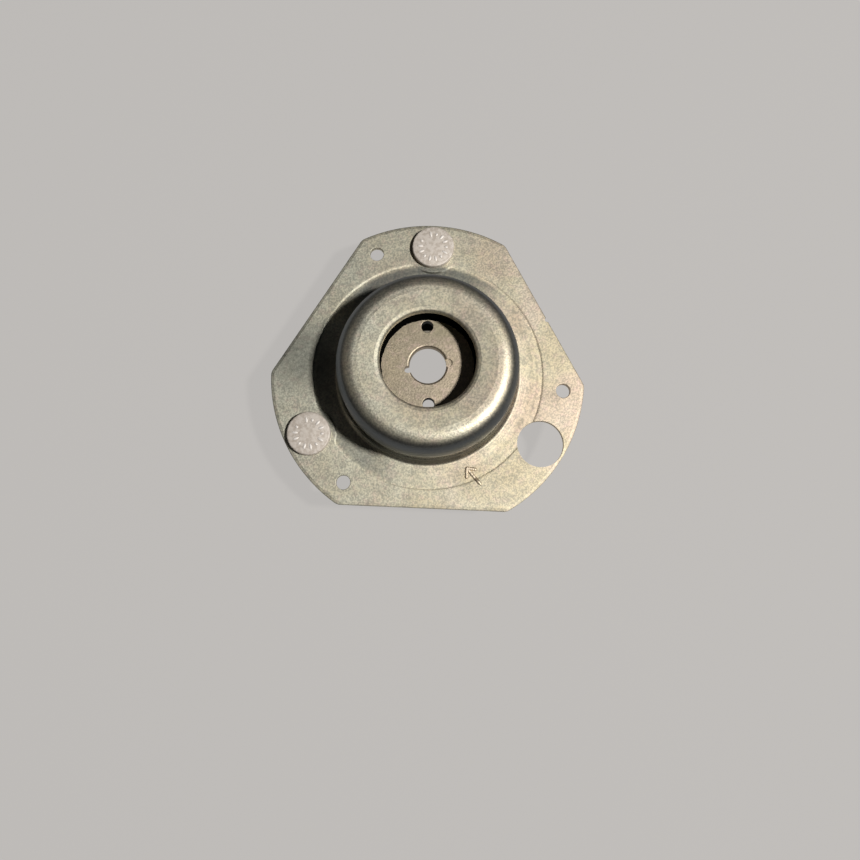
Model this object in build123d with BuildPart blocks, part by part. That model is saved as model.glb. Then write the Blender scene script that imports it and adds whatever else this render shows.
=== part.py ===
from build123d import *

import os
from math import cos, radians, sin

os.makedirs("parts", exist_ok=True)

# Strut mount: a pressed housing, a rubber bush moulded round a keyed core plate,
# a closing ring in the dome's mouth and press-in studs at two of the three stations.
# Millimetres. +Z runs along the strut axis, from the body tower towards the road spring.
# The origin is on that axis, in the plane of the flange's tower-side face.

# Flange
sheet = 2.5                  # thickness of the housing's sheet
lobe_margin = 9.5            # station centres to the arc of the three lobes
flat_depth = 8.9             # how far each of the three flats cuts in from that arc
corner_radius = 4.0          # where a flat meets a lobe
die_roll_width = 1.2         # slope that blanking leaves along the visible edge
die_roll_depth = 0.45
nick_angle = 27.3            # small handling nick on the right-hand flat
nick_radius = 0.9

# Recessed ring round the dome, with level pads left under the stud heads
ring_band = 6.2              # level width between the dome's root bend and the step
ring_drop = 0.8
ring_draft = 40              # slope of the step, degrees from the strut axis
brow_width = 0.35            # gentler slope along the top of the step
brow_depth = 0.2
brow_draft = 72
step_shift = 0.5             # how far the tower-side step lies inside the visible one
pad_margin = 1.35            # pad beyond the rim of its stud head
pad_bite = 3.7               # how far a pad reaches into the ring
pad_blend = 3.0              # corner where a pad runs into the ring

# Dome
dome_height = 29.0           # tower-side face of the flange to the top of the roof
root_bend = 5.0
shoulder_bend = 8.0
roof_hole_radius = 16.95
rim_round = 0.9

# Stations and holes in the flange
station_count = 3
first_station = 90           # degrees
stud_stations = (0, 1)       # stations that carry a stud
open_stations = (2,)         # stations that are an open hole
open_hole_radius = 8.65
small_hole_radius = 2.65
small_hole_margin = 7.8      # their centres to the arc of the lobes
small_hole_offset = 25.1     # degrees past each station
hole_round = 0.3

# Core plate
core_grip = 7.0              # width of the rim that the rubber holds
core_thickness = 4.0
core_top = 18.2
rod_bore_radius = 6.65
bore_round = 0.8
pin_hole_radius = 2.1
pin_hole_reach = 14.2        # axis to each of the two small holes
pin_hole_angle = 93.3
pin_hole_round = 0.25
key_angle = 195.5
key_width = 2.6
key_reach = 8.7              # axis to the bottom of the key notch
coin_angle = 8.0
coin_radius = 1.5
coin_depth = 0.6

# Closing ring
ring_sheet = 2.0
closing_margin = 0.5         # its bore outside the mouth of the rubber
closing_seat = 7.2           # height of its tower-side face
skirt_height = 7.0
skirt_bend = 2.6

# Rubber
lip_setback = 0.05           # spring-side throat outside the rim of the roof hole
throat_step = 0.4            # tower-side throat inside the spring-side one, at the core plate
throat_taper = 2.2           # how far the tower-side throat draws in down to its mouth
relief_width = 3.6           # how far the upper throat opens out up to the roof
rubber_wall = 6.2            # between the core plate and the dome
lip_round = 0.8              # mouth of the tower-side throat

# Studs
head_radius = 8.05
head_thickness = 2.6
head_round = 0.7
neck_radius = 4.7
shank_radius = 4.0
shank_length = 22.0          # beyond the flange's tower-side face
shank_chamfer = 0.9
spline_count = 24
spline_depth = 0.3

# Clearances
press_gap = 0.02             # stud neck in its hole, closing ring in the dome
bond_gap = 0.02              # rubber against the metal that it is bonded to

# Derived sizes, from the rod outwards
throat_above = roof_hole_radius + lip_setback
throat_below = throat_above - throat_step
mouth_radius = throat_below - throat_taper
roof_relief = throat_above + relief_width
closing_bore_radius = mouth_radius + closing_margin
core_radius = throat_above + core_grip
inner_wall = core_radius + rubber_wall
wall_radius = inner_wall + sheet
ring_radius = wall_radius + root_bend + ring_band
pad_radius = head_radius + pad_margin
station_radius = ring_radius + pad_radius - pad_bite
lobe_radius = station_radius + lobe_margin
flat_distance = lobe_radius - flat_depth
small_hole_circle = lobe_radius - small_hole_margin
roof_underside = dome_height - sheet
recess_level = sheet - ring_drop
boss_root = recess_level / 2
core_bottom = core_top - core_thickness
station_step = 360 / station_count
flat_normal = first_station - station_step / 2
small_start = first_station + small_hole_offset


def polar(radius, angle):
    return radius * cos(radians(angle)), radius * sin(radians(angle))


def station_centre(station):
    return polar(station_radius, first_station + station * station_step)


stud_centres = [station_centre(station) for station in stud_stations]
open_centres = [station_centre(station) for station in open_stations]


# Housing: flange and dome drawn from one sheet
with BuildPart() as housing:
    # Blank: three lobes cut by three flats
    with BuildSketch(Plane.XY):
        Circle(lobe_radius)
        RegularPolygon(flat_distance, station_count, major_radius=False,
                       rotation=first_station, mode=Mode.INTERSECT)
    extrude(amount=sheet)
    fillet(housing.edges().filter_by(Axis.Z), radius=corner_radius)
    visible_face = housing.faces().sort_by(Axis.Z)[-1]
    chamfer(visible_face.edges(), length=die_roll_width, length2=die_roll_depth, reference=visible_face)

    # Recess pressed into the visible face, clear of the stud pads
    with BuildSketch(Plane.XY.offset(sheet)) as recess:
        Circle(ring_radius)
        with Locations(*stud_centres):
            Circle(pad_radius, mode=Mode.SUBTRACT)
        fillet(recess.vertices(), radius=pad_blend)
    extrude(amount=-ring_drop, taper=ring_draft, mode=Mode.SUBTRACT)

    # Brow of the step, where the punch rounds the metal over
    with BuildSketch(Plane.XY.offset(sheet)) as brow:
        Circle(ring_radius + brow_width)
        with Locations(*stud_centres):
            Circle(pad_radius - brow_width, mode=Mode.SUBTRACT)
        fillet(brow.vertices(), radius=pad_blend)
    extrude(amount=-brow_depth, taper=brow_draft, mode=Mode.SUBTRACT)

    # The same metal stands out on the tower side, its step drawn in by the bend of the sheet
    with BuildSketch(Plane.XY.offset(boss_root)) as boss:
        Circle(ring_radius - step_shift)
        with Locations(*stud_centres):
            Circle(pad_radius + step_shift, mode=Mode.SUBTRACT)
        fillet(boss.vertices(), radius=pad_blend)
    extrude(amount=-boss_root - ring_drop, taper=ring_draft)

    # Mouth of the dome, then the drawn wall, shoulder and roof
    with BuildSketch(Plane.XY.offset(-ring_drop)):
        Circle(wall_radius + root_bend)
    extrude(amount=sheet + ring_drop, mode=Mode.SUBTRACT)
    with BuildSketch(Plane.XZ):
        with BuildLine():
            FilletPolyline(
                (wall_radius + root_bend + sheet, recess_level),
                (wall_radius, recess_level),
                (wall_radius, dome_height),
                (roof_hole_radius, dome_height),
                radius=[root_bend, shoulder_bend],
            )
            offset(amount=sheet, side=Side.LEFT)
        make_face()
    revolve(axis=Axis.Z)
    roof_rim = housing.edges().filter_by(GeomType.CIRCLE).filter_by(
        lambda edge: abs(edge.radius - roof_hole_radius) < 0.01)
    fillet(roof_rim.sort_by(Axis.Z)[-1], radius=rim_round)

    # Holes through the flange
    with BuildSketch(Plane.XY):
        with PolarLocations(small_hole_circle, station_count, small_start):
            Circle(small_hole_radius)
        with Locations(*open_centres):
            Circle(open_hole_radius)
        with Locations(*stud_centres):
            Circle(neck_radius + press_gap)
    extrude(amount=2 * sheet, both=True, mode=Mode.SUBTRACT)
    small_rims = housing.edges().filter_by(GeomType.CIRCLE).filter_by(
        lambda edge: abs(edge.radius - small_hole_radius) < 0.01)
    fillet(small_rims.group_by(Axis.Z)[-1], radius=hole_round)

    # Handling nick in the edge of one flat
    nick_place = polar(flat_distance / cos(radians(nick_angle - flat_normal)), nick_angle)
    with BuildSketch(Plane.XY):
        with Locations(nick_place):
            Circle(nick_radius)
    extrude(amount=sheet, mode=Mode.SUBTRACT)
housing.part.label = "housing"


# Core plate: keyed seat for the strut rod
with BuildPart() as core_plate:
    with BuildSketch(Plane.XY.offset(core_bottom)):
        Circle(core_radius)
        Circle(rod_bore_radius, mode=Mode.SUBTRACT)
    extrude(amount=core_thickness)
    bore_rims = core_plate.edges().filter_by(GeomType.CIRCLE).group_by(SortBy.RADIUS)[0]
    fillet(bore_rims, radius=bore_round)
    with BuildSketch(Plane.XY.offset(core_bottom)):
        with PolarLocations(pin_hole_reach, 2, pin_hole_angle):
            Circle(pin_hole_radius)
        with Locations(Location((0, 0), key_angle)):
            with Locations((key_reach - key_width / 2, 0)):
                Circle(key_width / 2)
            with Locations(((key_reach - key_width / 2) / 2, 0)):
                Rectangle(key_reach - key_width / 2, key_width)
    extrude(amount=core_thickness, mode=Mode.SUBTRACT)
    pin_rims = core_plate.edges().filter_by(GeomType.CIRCLE).filter_by(
        lambda edge: abs(edge.radius - pin_hole_radius) < 0.01)
    fillet(pin_rims, radius=pin_hole_round)
    with BuildSketch(Plane.XY.offset(core_top)):
        with Locations(polar(rod_bore_radius + bore_round, coin_angle)):
            Circle(coin_radius)
    extrude(amount=-coin_depth, mode=Mode.SUBTRACT)
core_plate.part.label = "core_plate"


# Closing ring: pressed into the dome's mouth, skirt towards the roof
skirt_radius = inner_wall - press_gap
with BuildPart() as closing_ring:
    with BuildSketch(Plane.XZ):
        with BuildLine():
            FilletPolyline(
                (closing_bore_radius, closing_seat),
                (skirt_radius, closing_seat),
                (skirt_radius, closing_seat + skirt_height),
                radius=skirt_bend,
            )
            offset(amount=ring_sheet, side=Side.LEFT)
        make_face()
    revolve(axis=Axis.Z)
closing_ring.part.label = "closing_ring"


# Rubber bush: fills the dome round the core plate's rim, between the roof and the closing ring
rubber_floor = closing_seat + ring_sheet + bond_gap
rubber_roof = roof_underside - bond_gap
inside_skirt = skirt_radius - ring_sheet - bond_gap
skirt_top = closing_seat + skirt_height + bond_gap
with BuildPart() as rubber_bush:
    with BuildSketch(Plane.XZ) as bush_section:
        with BuildLine():
            Polyline(
                (mouth_radius, rubber_floor),
                (inside_skirt, rubber_floor),
                (inside_skirt, skirt_top),
                (inner_wall - bond_gap, skirt_top),
                (inner_wall - bond_gap, rubber_roof),
                (roof_relief, rubber_roof),
                (throat_above, core_top + bond_gap),
                (throat_below, core_bottom - bond_gap),
                close=True,
            )
        make_face()
        corner = bush_section.vertices().group_by(Axis.X)[-1].sort_by(Axis.Y)[-1]
        fillet(corner, radius=shoulder_bend - sheet)
        heel = bush_section.vertices().group_by(Axis.Y)[0].sort_by(Axis.X)[-1]
        fillet(heel, radius=skirt_bend)
        lip = bush_section.vertices().group_by(Axis.Y)[0].sort_by(Axis.X)[0]
        fillet(lip, radius=lip_round)
        with Locations((core_radius + bond_gap, core_top + bond_gap)):
            Rectangle(core_radius, core_thickness + 2 * bond_gap, align=(Align.MAX, Align.MAX),
                      mode=Mode.SUBTRACT)
    revolve(axis=Axis.Z)
rubber_bush.part.label = "rubber_bush"


# Studs: flat head on the pad, splined neck through the sheet, threaded shank beyond it
def press_in_stud(place):
    with BuildPart() as stud:
        with BuildSketch(Plane.XY.offset(sheet)):
            with Locations(place):
                Circle(head_radius)
        extrude(amount=head_thickness)
        fillet(stud.edges().sort_by(Axis.Z)[-1], radius=head_round)
        with BuildSketch(Plane.XY):
            with Locations(place):
                Circle(neck_radius)
                with PolarLocations(neck_radius, spline_count):
                    RegularPolygon(spline_depth, 4, mode=Mode.SUBTRACT)
        extrude(amount=sheet)
        with BuildSketch(Plane.XY):
            with Locations(place):
                Circle(shank_radius)
        extrude(amount=-shank_length)
        chamfer(stud.edges().sort_by(Axis.Z)[0], length=shank_chamfer)
    return stud.part


export_step(housing.part, "parts/housing.step")
export_step(core_plate.part, "parts/core_plate.step")
export_step(closing_ring.part, "parts/closing_ring.step")
export_step(rubber_bush.part, "parts/rubber_bush.step")
for number, place in enumerate(stud_centres, start=1):
    stud_part = press_in_stud(place)
    stud_part.label = f"stud_{number}"
    export_step(stud_part, f"parts/stud_{number}.step")
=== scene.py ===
# %% [markdown]
# # Dressing a strut mount
#
# The solid model gives this part its true size: a pressed housing, a rubber bush, a keyed core plate,
# a closing ring and two press-in studs. This notebook adds what the press and the plating bath leave
# behind: soft bends, a mottled zinc skin, a torn rubber lip, screw threads and the light of the picture.

# %% Load the fixed frame
from math import atan2, cos, degrees, pi, radians, sin, sqrt

import bmesh
import bpy
from mathutils import Matrix, Vector


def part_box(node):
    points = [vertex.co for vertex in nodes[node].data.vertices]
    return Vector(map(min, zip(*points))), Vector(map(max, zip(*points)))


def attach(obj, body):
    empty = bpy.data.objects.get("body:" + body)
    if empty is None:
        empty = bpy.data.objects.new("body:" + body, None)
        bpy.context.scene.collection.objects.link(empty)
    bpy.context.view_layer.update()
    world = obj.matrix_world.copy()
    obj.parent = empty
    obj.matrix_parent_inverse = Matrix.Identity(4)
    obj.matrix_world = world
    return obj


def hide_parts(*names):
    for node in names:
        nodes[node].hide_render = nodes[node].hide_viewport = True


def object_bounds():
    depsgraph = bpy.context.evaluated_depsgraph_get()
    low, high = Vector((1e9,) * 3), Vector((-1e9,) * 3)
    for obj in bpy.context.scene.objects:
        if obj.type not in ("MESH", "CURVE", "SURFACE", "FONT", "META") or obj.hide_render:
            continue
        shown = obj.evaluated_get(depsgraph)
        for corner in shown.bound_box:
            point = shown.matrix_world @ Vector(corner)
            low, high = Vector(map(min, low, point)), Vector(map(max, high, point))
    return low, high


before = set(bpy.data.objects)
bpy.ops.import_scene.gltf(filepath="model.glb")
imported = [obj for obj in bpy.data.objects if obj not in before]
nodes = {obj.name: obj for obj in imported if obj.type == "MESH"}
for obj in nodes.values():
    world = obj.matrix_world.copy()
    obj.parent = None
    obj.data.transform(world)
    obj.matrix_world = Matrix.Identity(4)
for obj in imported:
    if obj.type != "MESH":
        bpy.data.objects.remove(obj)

MM = 0.001
cad_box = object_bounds()
scene = bpy.context.scene
print("nodes:", ", ".join(sorted(nodes)))

# %% [markdown]
# ## Camera
#
# The picture looks down the strut axis from about a third of a metre, a few degrees off square, so the
# dome leans up and to the right. The camera stands where the three-fold flange says it stood. The object
# lies above the middle of the frame, so the lens is shifted instead of turned, which keeps circles round.

# %% Camera
camera_place = Vector((2.4525, -64.2592, 318.0457)) * MM
camera_turn = [radians(angle) for angle in (11.62, -0.21, 2.48)]
camera_data = bpy.data.cameras.new("camera")
camera_data.sensor_width = 36.0
camera_data.lens = 35.745
camera_data.shift_y = -0.0674
camera_data.clip_start = 10 * MM
camera = bpy.data.objects.new("camera", camera_data)
camera.location = camera_place
camera.rotation_mode = "YXZ"
camera.rotation_euler = camera_turn
scene.collection.objects.link(camera)
scene.camera = camera
print("camera height above the flange, mm:", round(camera.location.z / MM, 1))

# %% [markdown]
# ## A small language for surfaces
#
# A surface in Blender is a graph of nodes. Drawing that graph by hand hides its sums, so each socket is
# wrapped in a small class that lets them be written as ordinary expressions.

# %% Sockets as expressions
class Wire:
    """An output socket of a shader graph that can be added, multiplied and so on."""

    def __init__(self, graph, socket):
        self.graph = graph
        self.socket = socket

    def _sum(self, operation, *values):
        return self.graph.node("ShaderNodeMath", {"operation": operation}, dict(enumerate(values)))

    def __add__(self, other):
        return self._sum("ADD", self, other)

    def __radd__(self, other):
        return self._sum("ADD", other, self)

    def __sub__(self, other):
        return self._sum("SUBTRACT", self, other)

    def __rsub__(self, other):
        return self._sum("SUBTRACT", other, self)

    def __mul__(self, other):
        return self._sum("MULTIPLY", self, other)

    def __rmul__(self, other):
        return self._sum("MULTIPLY", other, self)

    def __truediv__(self, other):
        return self._sum("DIVIDE", self, other)

    def __pow__(self, other):
        return self._sum("POWER", self, other)

    def clamp(self):
        return self.graph.node("ShaderNodeClamp", {}, {0: self})

    def ramp(self, low, high):
        """0 below low, 1 above high, smooth between them."""
        settings = {"interpolation_type": "SMOOTHSTEP"}
        inputs = {"Value": self, 1: low, 2: high, 3: 0.0, 4: 1.0}
        return self.graph.node("ShaderNodeMapRange", settings, inputs)

    def fall(self, low, high):
        """1 below low, 0 above high, smooth between them."""
        return 1 - self.ramp(low, high)

# %% [markdown]
# The material itself is the second class. It starts from Blender's Principled shader, whose constants are
# set by name, and one method makes every kind of node: its settings first, then the values or wires of its
# sockets. Noise, colour mixing and bump are used so often that each has a short form.

# %% One material
class Finish:
    """One material: a Principled shader and the nodes that feed it."""

    def __init__(self, name, **constants):
        self.material = bpy.data.materials.new(name)
        self.material.use_nodes = True
        self.tree = self.material.node_tree
        self.shader = self.tree.nodes["Principled BSDF"]
        for socket, value in constants.items():
            self.shader.inputs[socket.replace("_", " ")].default_value = value

    def node(self, kind, settings, inputs, output=0):
        """Makes any node and returns one of its outputs."""
        made = self.tree.nodes.new(kind)
        for key, value in settings.items():
            setattr(made, key, value)
        for key, value in inputs.items():
            if isinstance(value, Wire):
                self.tree.links.new(value.socket, made.inputs[key])
            else:
                made.inputs[key].default_value = value
        return Wire(self, made.outputs[output])

    def feed(self, socket, wire):
        self.tree.links.new(wire.socket, self.shader.inputs[socket])

    def place(self):
        """Where on the part the surface lies, in metres."""
        return self.node("ShaderNodeTexCoord", {}, {}, "Object")

    def noise(self, place, scale, detail=3.0, roughness=0.5, distortion=0.0):
        """Cloudy value from 0 to 1 with features about 1/scale metres across."""
        inputs = {"Vector": place, "Scale": scale, "Detail": detail, "Roughness": roughness,
                  "Distortion": distortion}
        return self.node("ShaderNodeTexNoise", {"noise_dimensions": "3D"}, inputs)

    def mix(self, factor, first, second):
        """Colour mix: first where factor is 0, second where it is 1."""
        settings = {"data_type": "RGBA", "clamp_factor": True}
        return self.node("ShaderNodeMix", settings, {0: factor, 6: first, 7: second}, 2)

    def mix_vectors(self, factor, first, second):
        settings = {"data_type": "VECTOR", "clamp_factor": True}
        return self.node("ShaderNodeMix", settings, {0: factor, 4: first, 5: second}, 1)

    def bump(self, height, distance=1.0, strength=1.0, normal=None):
        """A height in units of distance, as a tilted normal."""
        inputs = {"Height": height, "Distance": distance, "Strength": strength}
        if normal is not None:
            inputs["Normal"] = normal
        return self.node("ShaderNodeBump", {}, inputs)

# %% [markdown]
# Colours are judged on a screen, whose numbers rise faster than light does. The shader counts light, so
# every colour is written as it looks, from 0 to 255, and turned into light here.

# %% Colours
def colour(red, green, blue):
    """A colour given as it looks on screen, from 0 to 255, as the shader's linear values."""
    def linear(value):
        value /= 255.0
        return value / 12.92 if value <= 0.04045 else ((value + 0.055) / 1.055) ** 2.4
    return (linear(red), linear(green), linear(blue), 1.0)


print("a middle grey on screen is this much light:", round(colour(128, 128, 128)[0], 3))

# %% [markdown]
# ## Zinc-plated sheet
#
# The sheet is plated with zinc and passivated. Under the loupe its skin is a mottle of crystals about a
# millimetre across, greyer on one side and creamier on the other, with a blush of pink here and there. A
# painted image could show that, but it would have seams and one fixed sharpness. Cloud noise has neither,
# so the mottle is noise at several sizes, and it changes the colour, the roughness and the normals.

# %% Mottled zinc
grain_scale = 1500.0
patch_scale = 750.0
blush_scale = 380.0
haze_scale = 230.0
cloud_scale = 70.0
flush_scale = 55.0
noise_shift = (0.3, 0.2, 0.1)
flange_width = 100 * MM
blush_pink = colour(226, 200, 190)
flush_depth = 0.35
blush_depth = 0.25
crystal_depth = 0.40
haze_depth = 0.14
crystal_height = 0.06 * MM


class Zinc(Finish):
    """Mottled zinc on steel, which keeps its colour, roughness and normal open to further traces."""

    def __init__(self, name, cool, warm, shade, dull):
        super().__init__(name, Metallic=1.0)
        self.spot = self.place()
        self.across, self.along, self.height = (
            self.node("ShaderNodeSeparateXYZ", {}, {"Vector": self.spot}, axis) for axis in "XYZ")
        self.reach = (self.across * self.across + self.along * self.along) ** 0.5
        elsewhere = self.node("ShaderNodeVectorMath", {"operation": "ADD"}, {0: self.spot, 1: noise_shift})
        grain = self.noise(self.spot, grain_scale, 2.0, 0.6)
        self.patch = self.noise(self.spot, patch_scale, 2.0, 0.6, 0.3)
        haze = self.noise(elsewhere, haze_scale, 3.0)
        cloud = self.noise(self.spot, cloud_scale, 2.0, 0.5)
        blush = self.noise(elsewhere, blush_scale, 2.0)
        flush = self.noise(elsewhere, flush_scale, 1.0)
        side = (self.across - 0.15 * self.along) / flange_width
        creamy = (0.5 + 0.9 * side + 0.6 * (self.patch - 0.5) + 1.1 * (cloud - 0.5)).clamp()
        pink = (0.5 + side).clamp() * flush.ramp(0.45, 0.6) * flush_depth + blush_depth * blush.ramp(0.5, 0.68)
        crystal = (0.65 * grain + 0.35 * self.patch).fall(0.40, 0.60)
        self.base = self.mix(creamy, cool, warm)
        self.tint(pink, blush_pink)
        self.tint(crystal_depth * crystal + haze_depth * haze.ramp(0.42, 0.66), shade)
        self.rough = dull + 0.08 * (grain - 0.5) + 0.10 * (cloud - 0.5)
        self.normal = self.bump(0.6 * grain + 0.4 * self.patch, crystal_height)

    def tint(self, factor, new):
        self.base = self.mix(factor, self.base, new)

    def connect(self):
        """Feeds the shader once every trace is in."""
        self.feed("Base Color", self.base)
        self.feed("Roughness", self.rough)
        self.feed("Normal", self.normal)


housing_zinc = Zinc("housing_zinc", colour(224, 223, 206), colour(218, 206, 177), colour(118, 117, 108), 0.64)
reach, height = housing_zinc.reach, housing_zinc.height
across, along = housing_zinc.across, housing_zinc.along
print("mottled:", housing_zinc.material.name)

# %% [markdown]
# ## Tarnish and painted shade
#
# One place at the left edge of the flange is darker. It is partly tarnish, where damp has dulled the zinc,
# and partly painted shade, where the light falls off on the left. It is a mask, 1 where the patch lies and 0
# elsewhere, made from the distance to one point and broken up by the mottle. A mask needs no extra faces
# and stays where it is on the sheet.

# %% Tarnish and painted shade
def mm(*lengths):
    """Lengths in millimetres as the metres that Blender counts in."""
    return [length * MM for length in lengths]


tarnish_and_shade_spot = mm(-48.0, 5.0, 0.0)
tarnish_and_shade_fade = mm(4.0, 20.0)
tarnish_and_shade_grey = colour(86, 93, 90)

from_tarnish_and_shade_spot = housing_zinc.node("ShaderNodeVectorMath", {"operation": "DISTANCE"},
                                 {0: housing_zinc.spot, 1: tarnish_and_shade_spot}, "Value")
# The darker patch is partly tarnish and partly painted shade for the light falling off on the left.
housing_zinc.tint(from_tarnish_and_shade_spot.fall(*tarnish_and_shade_fade) * (1.3 * housing_zinc.patch - 0.2).clamp(), tarnish_and_shade_grey)
print("tarnish fades out over, mm:", tarnish_and_shade_fade[1] / MM)

# %% [markdown]
# ## Drawn wall
#
# The punch that draws the dome stretches the wall and thins its zinc, so the wall is greyer than the flat
# sheet. It is also darker the nearer it is to the roof, and that is painted shade standing for the dark
# surroundings that the steep wall reflects. Height tells the wall from the flange and distance from the
# axis tells it from the roof, which is less work than giving the wall faces of their own.

# %% Drawn wall and its painted shade
wall_start = mm(30.0, 31.5)
wall_foot = mm(2.2, 5.0)
wall_grey = colour(164, 170, 172)
wall_shade_start = mm(28.5, 30.5)
wall_shade_top = mm(11.0, 19.0)
wall_painted_shade_dark = colour(58, 66, 74)

housing_zinc.tint(0.7 * (reach.ramp(*wall_start) * height.ramp(*wall_foot)), wall_grey)
# Painted shade: the wall darkens towards the roof, standing in for the dark surroundings it reflects.
wall_painted_shade = 0.14 * height.ramp(*wall_foot) + 0.62 * height.ramp(*wall_shade_top)
housing_zinc.tint(reach.ramp(*wall_shade_start) * wall_painted_shade, wall_painted_shade_dark)
print("the wall is darkest above, mm:", wall_shade_top[1] / MM)

# %% [markdown]
# ## Painted shade in the ring
#
# A bluish painted shade darkens the floor of the ring behind the dome. A weaker one beside it, on the left,
# deepens the dome's shadow there as a painted shadow. Distance and height keep it on the floor of the ring,
# and a direction across the part says where along the ring it lies.

# %% Painted shade in the ring
ring_start = mm(34.0, 36.0)
ring_end = mm(41.5, 43.2)
above_ring = mm(4.0, 8.0)
ring_painted_shade_blue = colour(62, 74, 82)
behind_start = mm(18.0, 36.0)
behind_left_end = mm(-38.0, -22.0)
beside_start = mm(12.0, 30.0)
beside_end = mm(0.0, 12.0)

ring_floor = reach.ramp(*ring_start) * reach.fall(*ring_end) * height.fall(*above_ring)
behind = 0.62 * (along - 0.3 * across).ramp(*behind_start) * across.ramp(*behind_left_end)
beside = 0.35 * (-0.2 * along - across).ramp(*beside_start) * along.fall(*beside_end)
# Painted shade and painted shadow: the ring's floor behind the dome and beside it on the left is darkened
# bluish.
housing_zinc.tint((behind + beside) * ring_floor, ring_painted_shade_blue)
print("the stain ends at this distance from the axis, mm:", ring_end[1] / MM)

# %% [markdown]
# ## Dark lines and a darker roof
#
# Painted shade darkens the crease at the dome's foot and the fine line where the blanked edge of the
# flange begins. The roof is painted a little darker too, most of all on its right. The three masks never
# overlap, so they are added and share one colour.

# %% Dark lines
edge_foot = 2.05 * MM
edge_start = mm(45.2, 46.2)
edge_line_rise = (edge_foot - 0.4 * MM, edge_foot - 0.2 * MM)
edge_line_end = (edge_foot, edge_foot + 0.16 * MM)
seam_start = mm(31.8, 32.6)
seam_end = mm(33.4, 34.8)
roof_top = mm(25.5, 28.5)
roof_right = mm(0.0, 22.0)
painted_shade_grey = colour(56, 58, 60)

roof = (0.08 + 0.13 * across.ramp(*roof_right)) * height.ramp(*roof_top)
seam = reach.ramp(*seam_start) * reach.fall(*seam_end) * height.fall(*above_ring)
edge_line = reach.ramp(*edge_start) * height.ramp(*edge_line_rise) * height.fall(*edge_line_end)
# Painted shade: the crease at the dome's foot, the line on the blanked edge and the roof, most on its right.
housing_zinc.tint((roof + 0.6 * seam + 0.6 * edge_line).clamp(), painted_shade_grey)
print("the blanked edge begins at the height, mm:", edge_foot / MM)

# %% [markdown]
# ## Traces of the press
#
# The press leaves traces of less than a millimetre: rings burnished round the foot of the dome, a floor that
# lifts a little towards that foot, a roof that springs back into a slight dish, and a shoulder whose bend
# begins a little further out than the solid's. They could be faces, but the light shows them long before
# the outline does. So each is a height that depends on the distance from the axis, and the Bump node turns
# their sum into tilted normals. Two helpers give a height with a known slope.

# %% Slopes by distance
def cone(distance, width, slope):
    """A height that climbs with a slope over a width and then stays level."""
    return slope * width * (distance / width).clamp()


def sweep(distance, width, slope):
    """A height that starts level and bends up to a slope over a width."""
    share = (distance / width).clamp()
    return slope * width / 2 * share * share


roof_edge = 24.7 * MM
roof_rim = 18.7 * MM
brim_bend = 1.5 * MM
brim_width = 4.5 * MM
brim_slope = 0.17
dish_slope = 0.045
rim_slope = 0.2
flare_slope = 0.08
flare_start = 41.8 * MM
flare_width = 6.0 * MM
rings_scale = 430.0
rings_start = mm(33.5, 35.5)
rings_height = 0.13 * MM

dish = cone(reach, roof_edge, dish_slope) + cone(reach, roof_rim, rim_slope)
brim = sweep(reach - roof_edge, brim_bend, brim_slope)
brim = brim + cone(reach - (roof_edge + brim_bend), brim_width, brim_slope)
flare = sweep(flare_start - reach, flare_width, flare_slope)
ray = housing_zinc.node("ShaderNodeCombineXYZ", {}, {"X": reach, "Y": 0.0, "Z": 0.0})
rings = housing_zinc.noise(ray, rings_scale, 1.0) * reach.ramp(*rings_start) * reach.fall(*ring_end)
traces = rings_height * rings + dish + brim + flare
housing_zinc.normal = housing_zinc.bump(traces, normal=housing_zinc.normal)
print("the roof's bend begins at, mm:", round(roof_edge / MM, 1))

# %% [markdown]
# ## Softened slopes
#
# The step of the ring, the foot of the dome and the blanked edge are slopes in the solid, and real metal
# flows a little further than a straight slope does. Here a bump takes back most of the slope that the
# height itself has, and a mask keeps that to the three places.

# %% Softened slopes
flange_face = 2.5 * MM
give_back = 0.95
step_start = mm(40.2, 41.2)
foot_start = mm(34.3, 35.2)
foot_end = mm(38.0, 39.0)
above_foot = mm(4.0, 6.0)

softened = housing_zinc.bump(give_back * (flange_face - height), normal=housing_zinc.normal)
near_step = reach.ramp(*step_start) * reach.fall(*edge_start)
near_foot = reach.ramp(*foot_start) * reach.fall(*foot_end) * height.fall(*above_foot)
near_edge = 0.6 * reach.ramp(*edge_start) * height.ramp(edge_foot - 0.1 * MM, edge_foot)
near = near_step + near_foot + near_edge
housing_zinc.normal = housing_zinc.mix_vectors(near, housing_zinc.normal, softened)
print("share of the slope taken back:", give_back)

# %% [markdown]
# ## Polished bends
#
# Sheet that slides over the die comes out smoother than sheet that lies still. The bends and above all the
# lower wall are therefore shinier, which is what draws the bright line along the shoulder.

# %% Polished bends
polish = 0.135
extra_polish = 2.0
bend_foot = mm(2.2, 4.5)
bend_start = mm(23.5, 27.5)
lower_wall_start = mm(31.2, 32.2)
lower_wall_top = mm(12.0, 18.0)

bends = height.ramp(*bend_foot) * reach.ramp(*bend_start)
lower_wall = reach.ramp(*lower_wall_start) * height.fall(*lower_wall_top)
housing_zinc.rough = housing_zinc.rough - polish * (bends + extra_polish * lower_wall * bends)
housing_zinc.connect()
print("finished:", housing_zinc.material.name)

# %% [markdown]
# ## The other zinc finishes
#
# The closing ring, the core plate and the struck mark carry the same kind of zinc, so they share the mottle
# and differ only in tint and dullness. The walls of the core plate's small holes get painted shade: a
# near-black colour below their rims. It is too thin for a piece of its own, so it is a colour below their
# rims.

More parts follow.
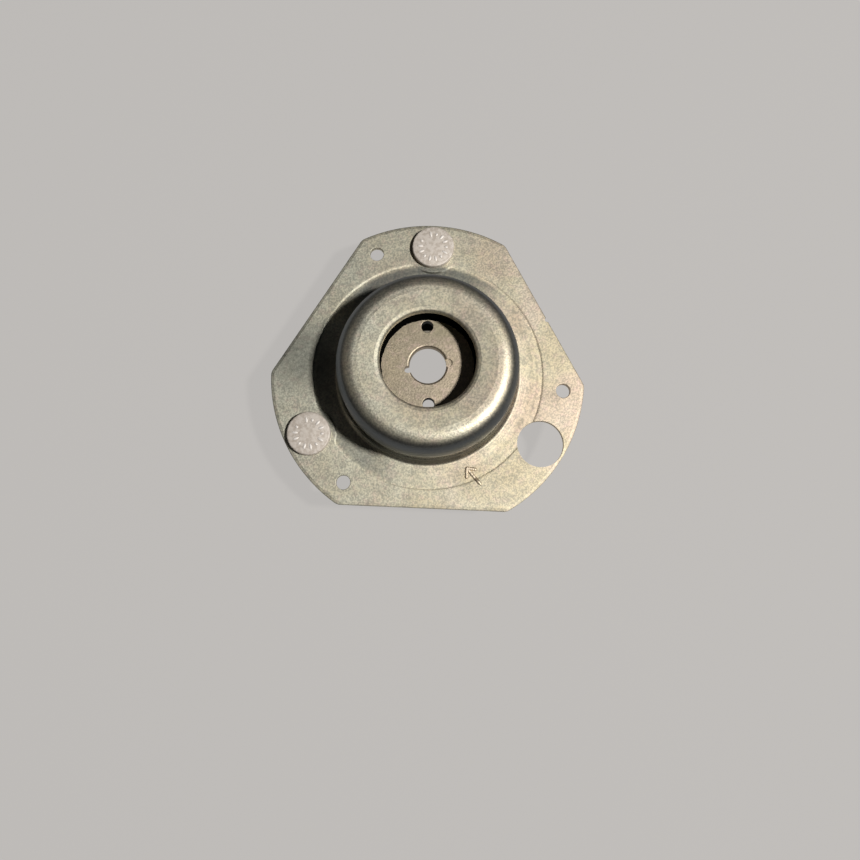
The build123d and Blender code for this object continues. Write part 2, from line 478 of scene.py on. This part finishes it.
# %% Ring, plate and mark
ring_zinc = Zinc("ring_zinc", colour(190, 190, 180), colour(214, 202, 170), colour(120, 118, 104), 0.45)
mark_zinc = Zinc("mark_zinc", colour(222, 213, 194), colour(226, 212, 186), colour(150, 140, 120), 0.56)
core_zinc = Zinc("core_zinc", colour(174, 167, 146), colour(182, 171, 142), colour(140, 130, 113), 0.52)
small_holes_start = mm(11.5, 12.0)
below_rims = mm(17.6, 18.0)
hole_painted_shade = core_zinc.reach.ramp(*small_holes_start) * core_zinc.height.fall(*below_rims)
# Painted shade: the walls of the core plate's small holes are coloured near-black below their rims.
core_zinc.tint(hole_painted_shade, colour(8, 8, 7))
for finish in (ring_zinc, mark_zinc, core_zinc):
    finish.connect()
    print("finished:", finish.material.name)

# %% [markdown]
# ## Stud finish
#
# The studs are plated in a drum, where they knock against each other. That leaves them paler and duller
# than the sheet. A low metallic value gives the chalky look, and the raised ticks on their heads are
# coloured lighter the higher they stand above the head's face.

# %% Stud finish
tick_light = mm(5.11, 5.24)
stud_zinc = Finish("stud_zinc", Metallic=0.25)
stud_place = stud_zinc.place()
stud_grain = stud_zinc.noise(stud_place, 900.0, 2.0)
stud_height = stud_zinc.node("ShaderNodeSeparateXYZ", {}, {"Vector": stud_place}, "Z")
stud_base = stud_zinc.mix(stud_grain.ramp(0.35, 0.65), colour(200, 189, 177), colour(222, 213, 203))
stud_base = stud_zinc.mix(0.8 * stud_height.ramp(*tick_light), stud_base, colour(246, 240, 234))
stud_zinc.feed("Base Color", stud_base)
stud_zinc.feed("Roughness", 0.5 + 0.15 * stud_grain)
stud_zinc.feed("Normal", stud_zinc.bump(stud_grain, 0.03 * MM))
print("finished:", stud_zinc.material.name)

# %% [markdown]
# ## Rubber finish
#
# The bush is black moulded rubber, deep inside the dome. Rubber reflects little, so the shader's specular
# level is almost nothing, and what is left is a fine grain from the mould.

# %% Rubber finish
rubber = Finish("black_rubber", Metallic=0.0, Specular_IOR_Level=0.02)
rubber_grain = rubber.noise(rubber.place(), 900.0, 3.0)
rubber.feed("Base Color", rubber.mix(rubber_grain, colour(1, 1, 1), colour(5, 5, 4)))
rubber.feed("Roughness", 0.55 + 0.2 * rubber_grain)
rubber.feed("Normal", rubber.bump(rubber_grain, 0.05 * MM, 0.5))
print("finished:", rubber.material.name)

# %% [markdown]
# The pieces of the solid model keep their shapes and only get these finishes.

# %% Finishes on the solid model
node_finishes = {
    "housing": housing_zinc, "core_plate": core_zinc, "closing_ring": ring_zinc,
    "rubber_bush": rubber, "stud_1": stud_zinc, "stud_2": stud_zinc,
}
for node, finish in node_finishes.items():
    nodes[node].data.materials.clear()
    nodes[node].data.materials.append(finish.material)
    print(node, "wears", finish.material.name)

# %% [markdown]
# ## Turning a shape into a piece
#
# Each new piece starts as a bmesh, Blender's editable mesh. When it is done, its faces are turned outwards,
# it is shaded smooth except across real edges, and it is told to ride with the part.

# %% From bmesh to piece
same_place = 0.0005 * MM


def add_piece(name, shape, finish, crease=35):
    """Makes a finished piece of a shape, with sharp edges where faces meet at more than crease degrees."""
    bmesh.ops.remove_doubles(shape, verts=shape.verts, dist=same_place)
    bmesh.ops.recalc_face_normals(shape, faces=shape.faces)
    mesh = bpy.data.meshes.new(name)
    shape.to_mesh(mesh)
    shape.free()
    mesh.shade_smooth()
    mesh.set_sharp_from_angle(angle=radians(crease))
    mesh.materials.append(finish.material)
    piece = bpy.data.objects.new(name, mesh)
    scene.collection.objects.link(piece)
    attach(piece, "root")
    print(name, "has", len(mesh.polygons), "faces")
    return piece


def blob(shape, place, angle, size):
    """A soft raised bar: a ball squashed to three sizes, turned by an angle in degrees and put in its place."""
    turn = Matrix.Rotation(radians(angle), 4, "Z")
    stretch = Matrix.Diagonal((*size, 1.0))
    bmesh.ops.create_icosphere(shape, subdivisions=3, radius=0.5,
                               matrix=Matrix.Translation(place) @ turn @ stretch)


def heading_vector(angle):
    """A step of length 1 in the plane of the flange, towards an angle in degrees."""
    return Vector((cos(radians(angle)), sin(radians(angle)), 0.0))

# %% [markdown]
# ## Studs
#
# A press-in stud is a cold-headed screw: a flat round head with a softly rolled rim, a splined neck that
# bites into the sheet, and a rolled thread. The solid model leaves the thread plain, so the whole stud is
# made again here. The thread is one pitch of its outline, spun about the axis while it climbs, then cut
# square at both ends. The head carries a ring of plain raised ticks, as such heads carry forging marks.

# %% Stud sizes
thread_top = flange_face * 0.2
thread_pitch = 1.25 * MM
thread_root = 3.32 * MM
thread_crest = 3.97 * MM
thread_outline = [(thread_root, 0.0), (thread_root, 0.10), (thread_crest, 0.44), (thread_crest, 0.66),
                  (thread_root, 1.0)]
thread_steps = 40
thread_weld = 0.002 * MM
level = 0.001 * MM
tip_chamfer = 0.25 * MM
neck_radius = 4.65 * MM
neck_splines = 24
neck_groove = 0.955
neck_base = 0.05 * MM
head_rim = 0.55 * MM
head_sides = 120
tick_circle = 5.0 * MM
tick_width = 1.3 * MM
tick_long = 2.9 * MM
tick_short = 1.7 * MM
tick_sink = 0.25 * MM
tick_rise = 0.22 * MM
tick_places = 14
tick_gap = 5
print("thread depth, mm:", round((thread_crest - thread_root) / MM, 2))

# %% Thread
def thread(shape, top, tip):
    """A helical thread on the Z axis, from the height top down to the height tip."""
    start = tip - thread_pitch
    points = [shape.verts.new((radius, 0.0, start + share * thread_pitch)) for radius, share in thread_outline]
    edges = [shape.edges.new(pair) for pair in zip(points, points[1:])]
    turns = int((top - tip) / thread_pitch) + 3
    climb = Vector((0.0, 0.0, thread_pitch / thread_steps))
    bmesh.ops.spin(shape, geom=points + edges, cent=(0, 0, 0), axis=(0, 0, 1), dvec=climb,
                   angle=2 * pi * turns, steps=turns * thread_steps, use_merge=False, use_normal_flip=False,
                   use_duplicate=False)
    bmesh.ops.remove_doubles(shape, verts=shape.verts, dist=thread_weld)
    for cut, outward in ((top, 1.0), (tip, -1.0)):
        bmesh.ops.bisect_plane(shape, geom=shape.verts[:] + shape.edges[:] + shape.faces[:],
                               plane_co=(0, 0, cut), plane_no=(0, 0, outward), clear_outer=True)
        rim = [edge for edge in shape.edges if edge.is_boundary
               and all(abs(vert.co.z - cut) < level for vert in edge.verts)]
        bmesh.ops.contextual_create(shape, geom=rim)
    for vert in shape.verts:
        radius = sqrt(vert.co.x ** 2 + vert.co.y ** 2)
        limit = thread_root - tip_chamfer + (vert.co.z - tip)
        if radius > limit:
            vert.co.xy *= limit / radius

# %% Neck and head
def lift_face(shape, outline, rise):
    """Pulls the face of an outline up into a block, and returns what was pulled."""
    pulled = bmesh.ops.extrude_face_region(shape, geom=[outline[0].link_faces[0]])["geom"]
    top = [part for part in pulled if isinstance(part, bmesh.types.BMVert)]
    bmesh.ops.translate(shape, verts=top, vec=(0, 0, rise))
    return pulled


def add_neck(shape):
    """The splined neck in the sheet."""
    neck = bmesh.ops.create_circle(shape, cap_ends=True, radius=neck_radius, segments=2 * neck_splines)["verts"]
    for number, vert in enumerate(neck):
        if number % 2:
            vert.co *= neck_groove
    bmesh.ops.translate(shape, verts=neck, vec=(0, 0, neck_base))
    lift_face(shape, neck, flange_face)


def add_head(shape, head_radius, head_face):
    """The flat head with its rolled rim and its ring of ticks."""
    disc = bmesh.ops.create_circle(shape, cap_ends=True, radius=head_radius, segments=head_sides,
                                   matrix=Matrix.Translation((0, 0, flange_face)))["verts"]
    pulled = lift_face(shape, disc, head_face - flange_face)
    rim = [part for part in pulled if isinstance(part, bmesh.types.BMEdge)]
    bmesh.ops.bevel(shape, geom=rim, offset=head_rim, offset_type="OFFSET", segments=4, profile=0.5,
                    affect="EDGES", material=-1)
    for number in range(tick_places):
        if number == tick_gap:
            continue
        angle = number * 360 / tick_places
        size = (tick_long if number % 3 else tick_short, tick_width, 2 * (tick_rise + tick_sink))
        out = heading_vector(angle) * tick_circle
        blob(shape, out + Vector((0.0, 0.0, head_face - tick_sink)), angle, size)

# %% Whole stud
def press_in_stud(node):
    """A threaded stud in the place and of the size of the plain one."""
    low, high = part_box(node)
    centre = Vector(((low[0] + high[0]) / 2, (low[1] + high[1]) / 2, 0.0))
    stud = bmesh.new()
    thread(stud, thread_top, low[2])
    add_neck(stud)
    add_head(stud, (high[0] - low[0]) / 2, high[2])
    bmesh.ops.translate(stud, verts=stud.verts, vec=centre)
    piece = add_piece(node + "_threaded", stud, stud_zinc)
    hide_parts(node)


press_in_stud("stud_1")
press_in_stud("stud_2")

# %% [markdown]
# ## Rubber lip
#
# Where the mould closed on the core plate, the rubber left a thin ragged lip on the metal. A thin ring is
# spun round the axis and its inner edge is then pushed in and out by a few waves of different lengths.

# %% Lip
core_face = 18.2 * MM
lip_radius = 17.1 * MM
lip_width = 0.5 * MM
lip_thickness = 0.3 * MM
lip_sink = 0.05 * MM
lip_steps = 240
lip_wave = 0.09 * MM
lip_waves = [(5, 0.7, 1.0), (13, 2.1, 0.8), (31, 0.0, 0.5), (57, 1.0, 0.4)]

lip = bmesh.new()
corners = [(lip_radius, -lip_sink), (lip_radius, lip_thickness), (lip_radius - lip_width, 0.0)]
section = [lip.verts.new((radius, 0.0, core_face + rise)) for radius, rise in corners]
section_edges = [lip.edges.new((section[i], section[(i + 1) % 3])) for i in range(3)]
bmesh.ops.spin(lip, geom=section + section_edges, cent=(0, 0, 0), axis=(0, 0, 1), dvec=(0, 0, 0),
               angle=2 * pi, steps=lip_steps, use_merge=True, use_normal_flip=False, use_duplicate=False)
for vert in lip.verts:
    angle = atan2(vert.co.y, vert.co.x)
    ragged = sum(size * sin(count * angle + turn) for count, turn, size in lip_waves)
    low_down = vert.co.z < core_face + 0.5 * lip_thickness
    if low_down and vert.co.xy.length < lip_radius - 0.5 * lip_width:
        vert.co.xy *= 1 - lip_wave * ragged / vert.co.xy.length
add_piece("rubber_lip", lip, rubber)

# %% [markdown]
# ## Direction mark
#
# The press tool strikes a small raised mark across the step of the ring, to show which way round the part
# goes. Here it is a plain arrow: a shaft and two barbs, each a bar with soft edges that follows the sheet
# down from the flange into the ring.

# %% Arrow
ring_face = 1.7 * MM
step_inner = 43.2 * MM
step_outer = 43.9 * MM
mark_tip = Vector((15.9, -34.9, 0.0)) * MM
mark_tail = Vector((21.2, -40.7, 0.0)) * MM
stroke_width = 1.6 * MM
stroke_sink = 0.3 * MM
stroke_rise = 0.4 * MM
stroke_shares = (-0.34, -0.17, 0.0, 0.17, 0.34)
barb_length = 3.4 * MM
barb_spread = 42
mark_crease = 60

mark = bmesh.new()
shaft = mark_tip - mark_tail
heading = degrees(atan2(shaft.y, shaft.x))
strokes = [((mark_tip + mark_tail) / 2, heading, shaft.length)]
for side in (-1, 1):
    barb_angle = heading + 180 + side * barb_spread
    barb = heading_vector(barb_angle) * barb_length
    strokes.append((mark_tip + barb / 2, barb_angle, barb_length + stroke_width * 0.4))
for middle, angle, length in strokes:
    size = (length * 0.5, stroke_width, 2 * (stroke_rise + stroke_sink))
    for share in stroke_shares:
        step = heading_vector(angle) * length * share
        blob(mark, middle + step - Vector((0.0, 0.0, stroke_sink)), angle, size)
for vert in mark.verts:
    share = (vert.co.xy.length - step_inner) / (step_outer - step_inner)
    vert.co.z += ring_face + (flange_face - ring_face) * min(max(share, 0.0), 1.0)
add_piece("direction_mark", mark, mark_zinc, mark_crease)

# %% [markdown]
# ## Floor
#
# The part stands on its studs on a pale sheet. Plain paper would take its tone from the lamps, so the
# material asks which kind of ray is looking. The camera and the metal's reflections mostly see a glow of the
# picture's own grey, and a tenth of what they see is lit paper, which carries the soft shadow.

# %% Floor
floor_half = 0.9
floor_level = cad_box[0][2] - 0.05 * MM
floor_mesh = bmesh.new()
bmesh.ops.create_grid(floor_mesh, x_segments=1, y_segments=1, size=floor_half)
bmesh.ops.translate(floor_mesh, verts=floor_mesh.verts, vec=(0.0, 0.0, floor_level))
floor_data = bpy.data.meshes.new("floor")
floor_mesh.to_mesh(floor_data)
floor_mesh.free()
floor = bpy.data.objects.new("floor", floor_data)
scene.collection.objects.link(floor)
print("floor level, mm:", round(floor_level / MM, 2))

# %% Floor finish
paper_grey = colour(193, 190, 187)
glow_share = 0.9
paper = Finish("pale_paper", Base_Color=paper_grey, Roughness=0.9)
rays = [paper.node("ShaderNodeLightPath", {}, {}, "Is %s Ray" % kind)
        for kind in ("Camera", "Glossy", "Transmission")]
glow = paper.node("ShaderNodeEmission", {}, {"Color": paper_grey, "Strength": 1.0})
share = (rays[0] + rays[1] + rays[2]).clamp() * glow_share
blend = paper.node("ShaderNodeMixShader", {}, {0: share, 1: Wire(paper, paper.shader.outputs[0]), 2: glow})
paper.tree.links.new(blend.socket, paper.tree.nodes["Material Output"].inputs["Surface"])
floor_data.materials.append(paper.material)
print("finished:", paper.material.name)

# %% [markdown]
# ## Light
#
# One small lamp high on the right throws the deep shadows of the picture, and a large lamp would wash them
# out. A weaker lamp below it reaches the wall on the right, a warm one on the left rims the dome, and a
# faint blue sky keeps the shadows from turning quite black.

# %% Lights
lamp_distance = 1.0
lamps = {
    "key": ((0.46, -0.06, 0.885), 0.08, 9.3, (1.0, 0.98, 0.95)),
    "low": ((0.75, -0.13, 0.64), 0.12, 0.3, (1.0, 0.98, 0.95)),
    "left": ((-0.87, 0.1, 0.5), 0.3, 0.18, (1.0, 0.82, 0.66)),
}
for name, (direction, size, power, light_colour) in lamps.items():
    lamp_data = bpy.data.lights.new(name, "AREA")
    lamp_data.size = size
    lamp_data.energy = power
    lamp_data.color = light_colour
    lamp = bpy.data.objects.new(name, lamp_data)
    towards = Vector(direction).normalized()
    lamp.location = towards * lamp_distance
    lamp.rotation_euler = towards.to_track_quat("Z", "Y").to_euler()
    scene.collection.objects.link(lamp)
    print("lamp", name, "of", power, "W")

# %% Sky and picture
world = bpy.data.worlds.new("world")
scene.world = world
world.use_nodes = True
sky = world.node_tree.nodes["Background"]
sky.inputs["Color"].default_value = (0.8, 0.9, 1.0, 1.0)
sky.inputs["Strength"].default_value = 0.015
scene.view_settings.view_transform = "Standard"
print("view transform:", scene.view_settings.view_transform)
